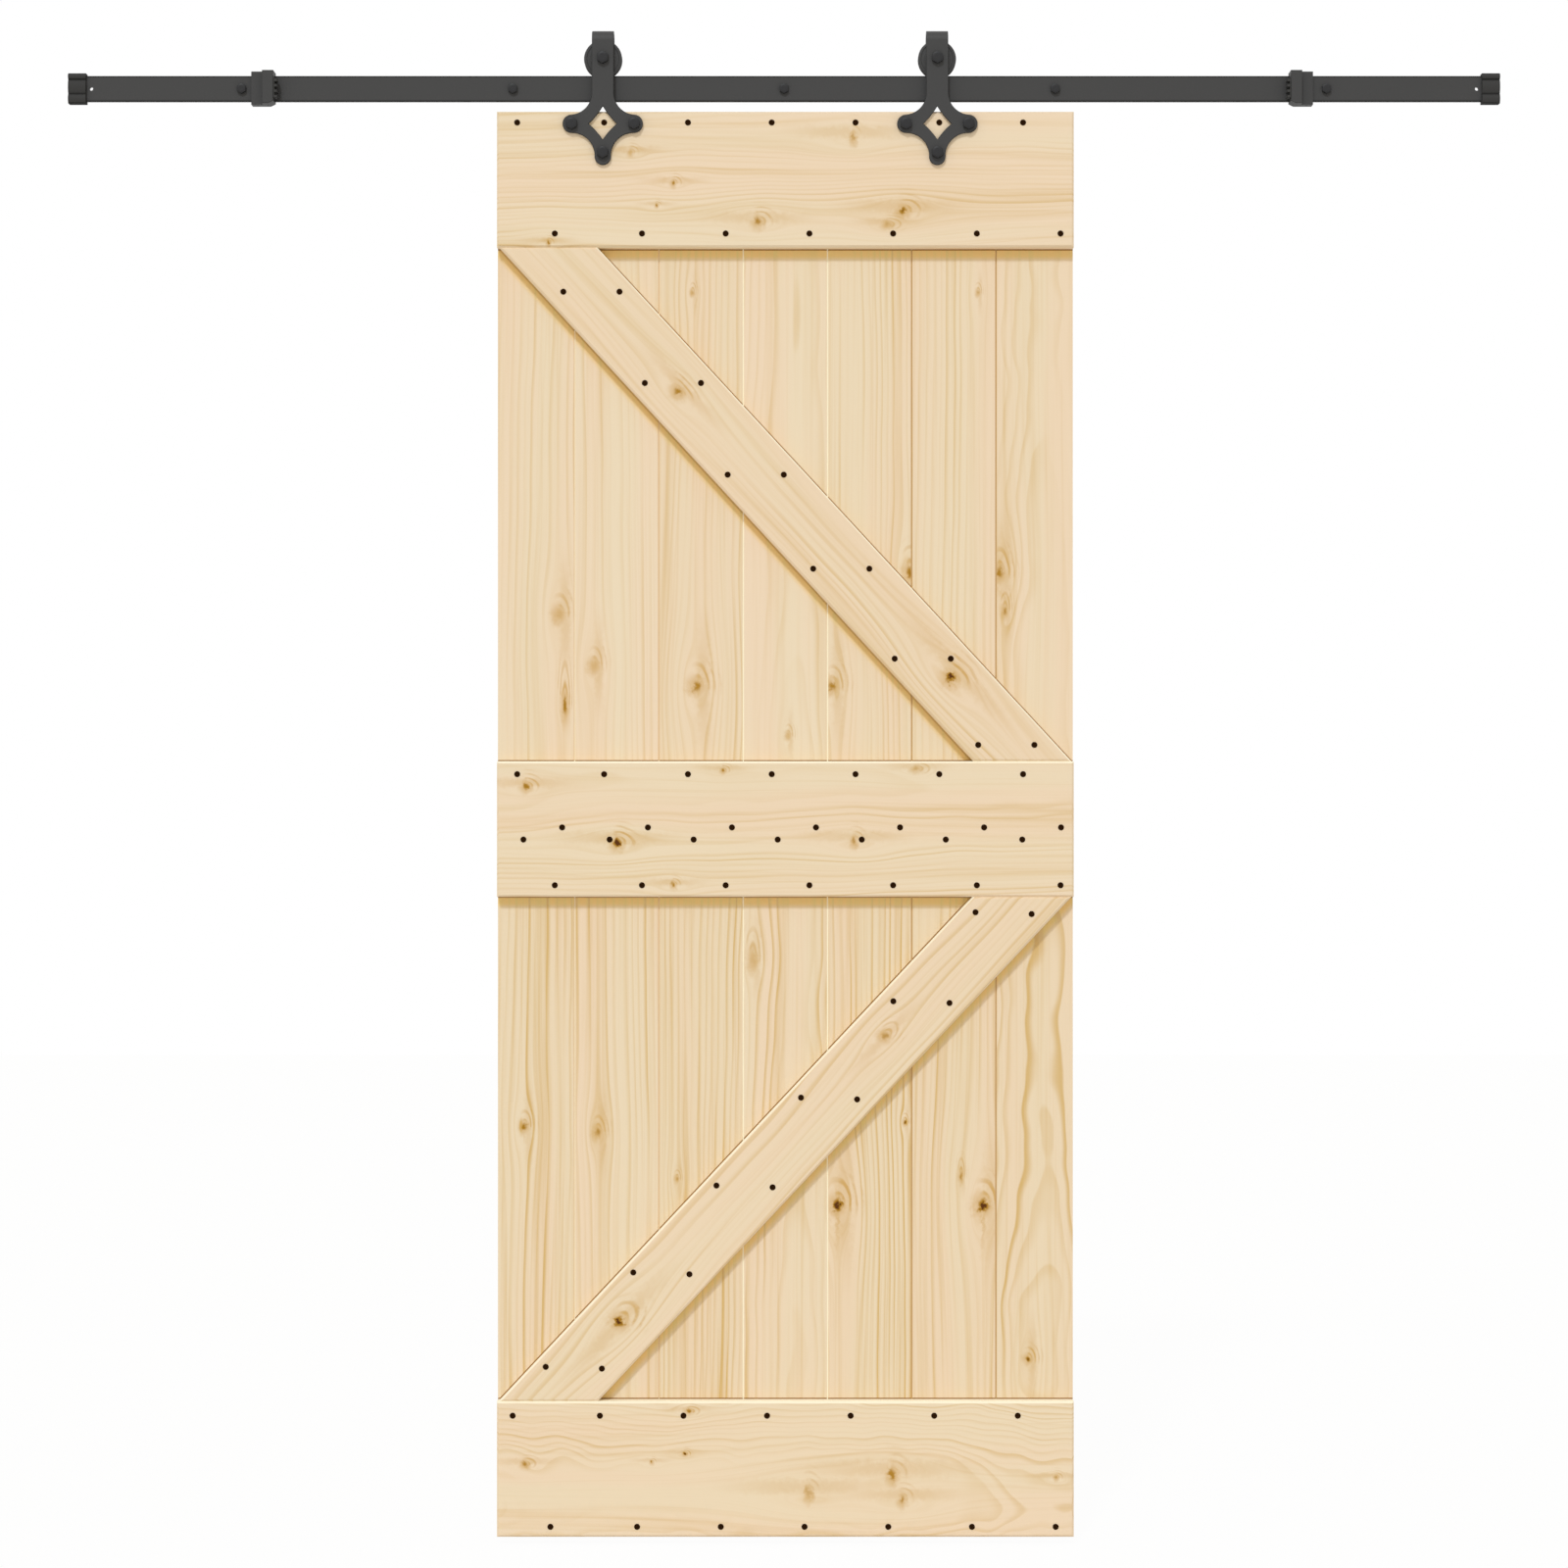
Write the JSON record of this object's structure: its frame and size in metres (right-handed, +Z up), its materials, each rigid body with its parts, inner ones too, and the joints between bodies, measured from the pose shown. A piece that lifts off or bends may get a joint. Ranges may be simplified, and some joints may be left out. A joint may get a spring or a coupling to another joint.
{
  "type": "sliding barn door",
  "caption": "Sliding plank door with cross rails and diagonal braces, hung by wheeled strap hangers from a flat steel wall track with stops and end caps.",
  "frame": {"origin": "on the wall plane, on the axis of the middle wall bolt of the track, where its spacer meets the wall", "axes": "+X to the right along the track as seen from the front, +Y into the wall, +Z up"},
  "size_m": [2.111, 0.1094, 2.2203],
  "materials": {
    "pine": "bare planed softwood with knots",
    "coated_steel": "matt dark grey powder coat",
    "black_fasteners": "satin black",
    "rubber": "moulded dark rubber",
    "bearing_steel": "ground steel"
  },
  "bodies": {
    "track": {"track_rail": "coated_steel", "wall_spacers": "coated_steel", "lag_screws": "black_fasteners", "end_cap_left": "rubber", "end_cap_right": "rubber", "stop_left": "coated_steel", "stop_right": "coated_steel", "stop_bumper_left": "rubber", "stop_bumper_right": "rubber", "stop_grub_screws": "black_fasteners"},
    "door": {"board_1": "pine", "board_2": "pine", "board_3": "pine", "board_4": "pine", "board_5": "pine", "board_6": "pine", "board_7": "pine", "top_cross_rail": "pine", "middle_cross_rail": "pine", "bottom_cross_rail": "pine", "upper_brace": "pine", "lower_brace": "pine", "hanger_left": "coated_steel", "hanger_right": "coated_steel", "hanger_bolts": "black_fasteners", "axle_bolts": "black_fasteners", "axle_nuts": "black_fasteners", "sleeve_nuts": "black_fasteners", "axle_bushes": "bearing_steel", "bearing_inner_rings": "bearing_steel"},
    "roller_left": {"wheel_left": "coated_steel", "bearing_outer_ring_left": "bearing_steel"},
    "roller_right": {"wheel_right": "coated_steel", "bearing_outer_ring_right": "bearing_steel"}
  },
  "joints": [
    {"name": "door_slide", "type": "slide", "parent": "track", "child": "door", "axis": [1, 0, 0], "range_m": [-0.4609, 0.4964]},
    {"name": "roller_left_spin", "type": "hinge", "parent": "door", "child": "roller_left", "pos_m": [-0.2668, -0.037, 0.0433], "axis": [0, 1, 0], "continuous": true},
    {"name": "roller_right_spin", "type": "hinge", "parent": "door", "child": "roller_right", "pos_m": [0.2257, -0.037, 0.0433], "axis": [0, 1, 0], "continuous": true}
  ],
  "couplings": [
    {"joint": "roller_left_spin", "follows": "door_slide", "rad_per_m": 41.667},
    {"joint": "roller_right_spin", "follows": "door_slide", "rad_per_m": 41.667}
  ]
}
